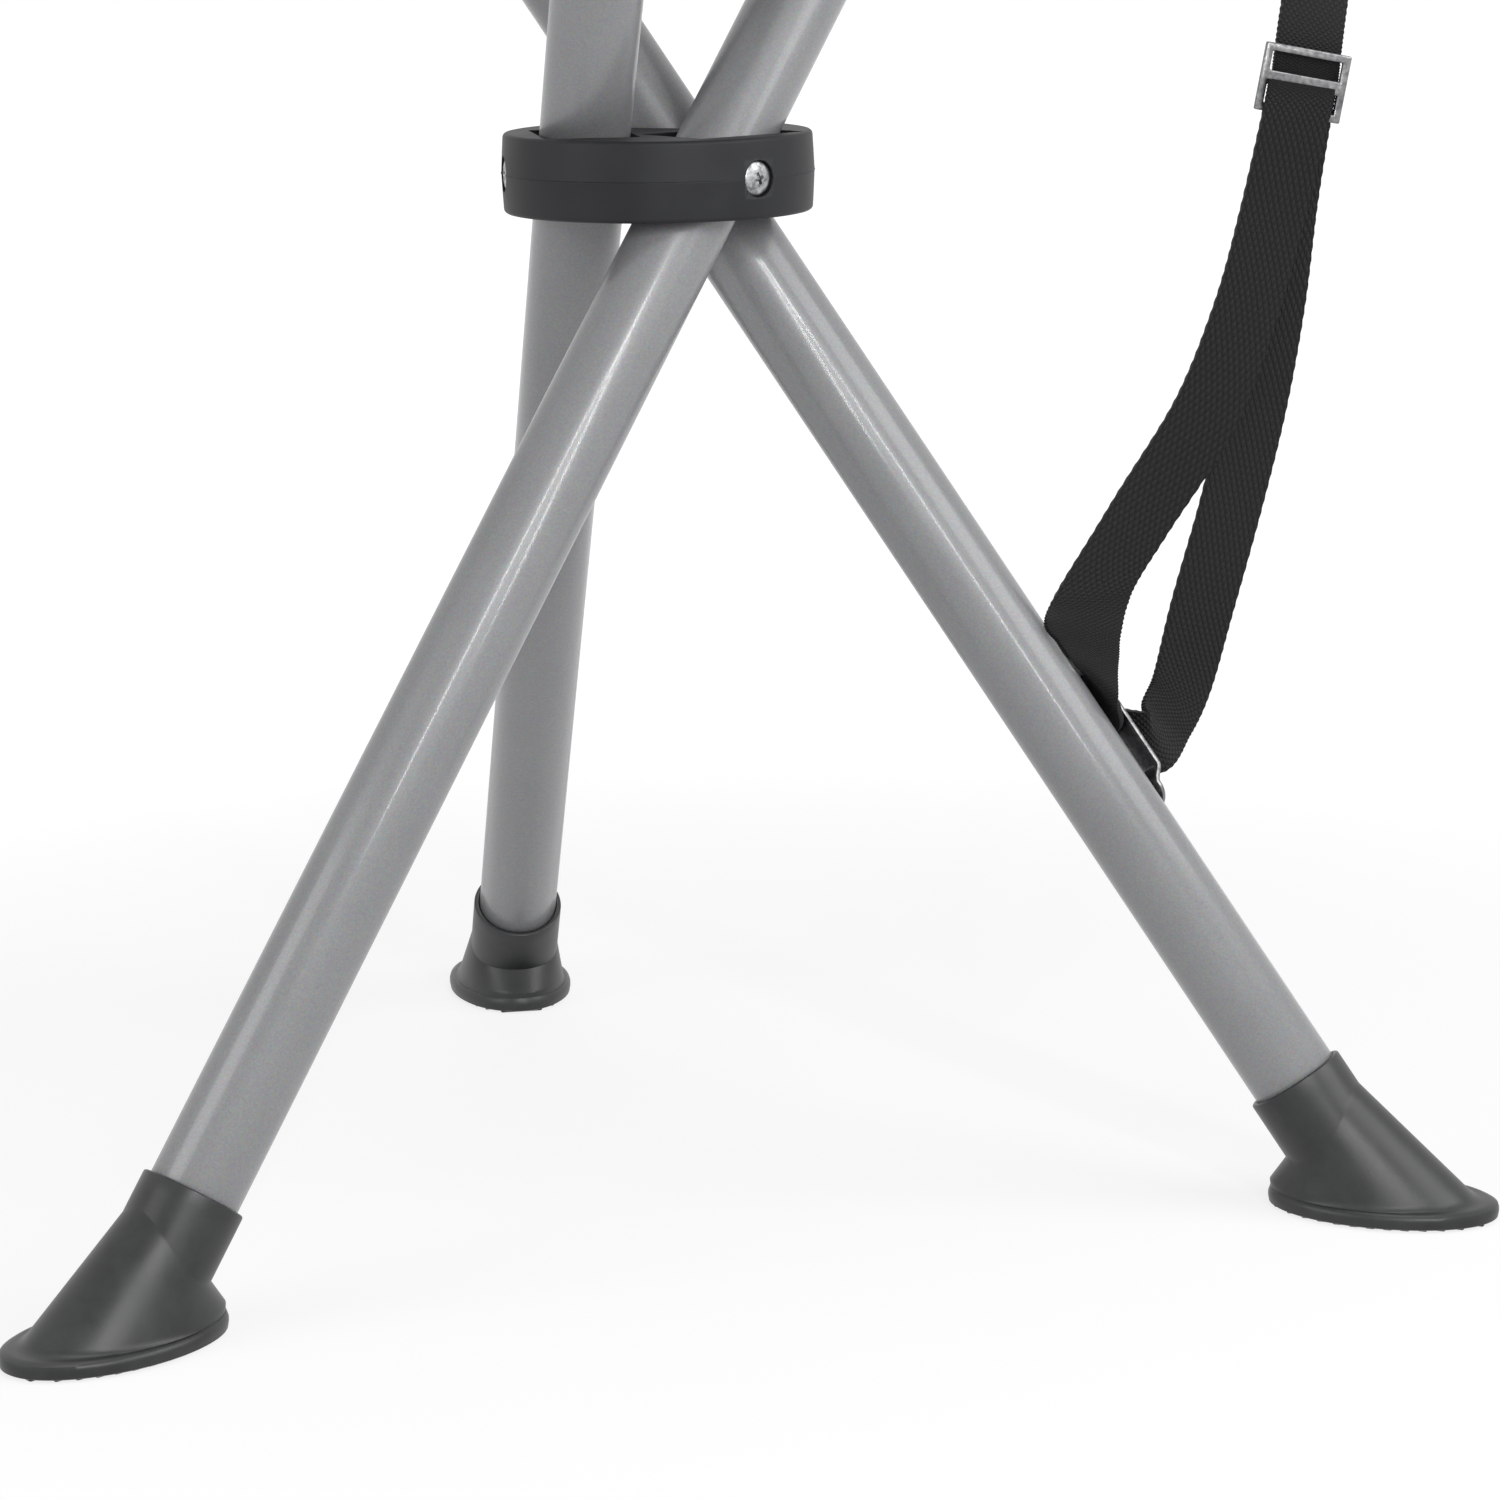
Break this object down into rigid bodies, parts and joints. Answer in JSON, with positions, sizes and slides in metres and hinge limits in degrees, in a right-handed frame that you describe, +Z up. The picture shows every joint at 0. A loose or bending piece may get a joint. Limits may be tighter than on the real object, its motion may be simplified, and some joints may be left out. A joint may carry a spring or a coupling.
{
  "type": "folding camping stool",
  "caption": "Tripod folding stool: crossed steel tube legs pivot on screws in a round hub under a slung triangular fabric seat, with rubber feet and a webbing carry strap.",
  "frame": {"origin": "on the ground, under the middle of the open stool's bounding box", "axes": "+Z up, +Y away from the picture's camera, +X to the picture's right"},
  "size_m": [0.401, 0.4128, 0.5212],
  "materials": {
    "hub_plastic": "satin black, fine moulded grain",
    "screw_zinc": "zinc plated",
    "slider_steel": "nickel plated",
    "tube_paint": "silver grey powder coat, satin",
    "foot_rubber": "dark grey, satin",
    "plug_plastic": "satin black",
    "seat_fabric": "black woven polyester",
    "binding_tape": "black folded tape",
    "bracket_steel": "plated steel strip",
    "rivet_steel": "plated steel",
    "webbing": "near-black woven webbing"
  },
  "bodies": {
    "hub": {"hub": "hub_plastic", "pivot_screw_a": "screw_zinc", "pivot_screw_b": "screw_zinc", "pivot_screw_c": "screw_zinc", "strap_slider": "slider_steel"},
    "leg_a": {"leg_tube_a": "tube_paint", "foot_a": "foot_rubber", "leg_plug_a": "plug_plastic", "seat_pocket_a": "seat_fabric", "strap_upper": "webbing"},
    "leg_b": {"leg_tube_b": "tube_paint", "foot_b": "foot_rubber", "leg_plug_b": "plug_plastic", "seat_pocket_b": "seat_fabric", "strap_bracket": "bracket_steel", "bracket_rivet_upper": "rivet_steel", "bracket_rivet_lower": "rivet_steel", "strap_lower": "webbing"},
    "leg_c": {"leg_tube_c": "tube_paint", "foot_c": "foot_rubber", "leg_plug_c": "plug_plastic", "seat_pocket_c": "seat_fabric"},
    "seat": {"seat_panel": "seat_fabric", "binding_ab": "binding_tape", "binding_bc": "binding_tape", "binding_ca": "binding_tape"}
  },
  "joints": [
    {"name": "leg_a_fold", "type": "hinge", "parent": "hub", "child": "leg_a", "pos_m": [-0.01681, -0.04046, 0.28891], "axis": [0.6481, -0.7615, 0], "range_deg": [0, 31], "deforming": ["strap_upper"]},
    {"name": "leg_b_fold", "type": "hinge", "parent": "hub", "child": "leg_b", "pos_m": [-0.02353, -0.00383, 0.28891], "axis": [0.3355, 0.9421, 0], "range_deg": [0, 31], "deforming": ["strap_lower"]},
    {"name": "leg_c_fold", "type": "hinge", "parent": "hub", "child": "leg_c", "pos_m": [-0.05189, -0.02797, 0.28891], "axis": [-0.9836, -0.1805, 0], "range_deg": [0, 31]},
    {"name": "seat_rise", "type": "slide", "parent": "hub", "child": "seat", "axis": [0, 0, 1], "range_m": [0, 0.04898], "deforming": ["seat_panel", "binding_ab", "binding_bc", "binding_ca"]}
  ],
  "couplings": [
    {"joint": "leg_b_fold", "follows": "leg_a_fold", "ratio": 1},
    {"joint": "leg_c_fold", "follows": "leg_a_fold", "ratio": 1},
    {"joint": "seat_rise", "follows": "leg_a_fold", "m_per_rad": 0.090348}
  ]
}
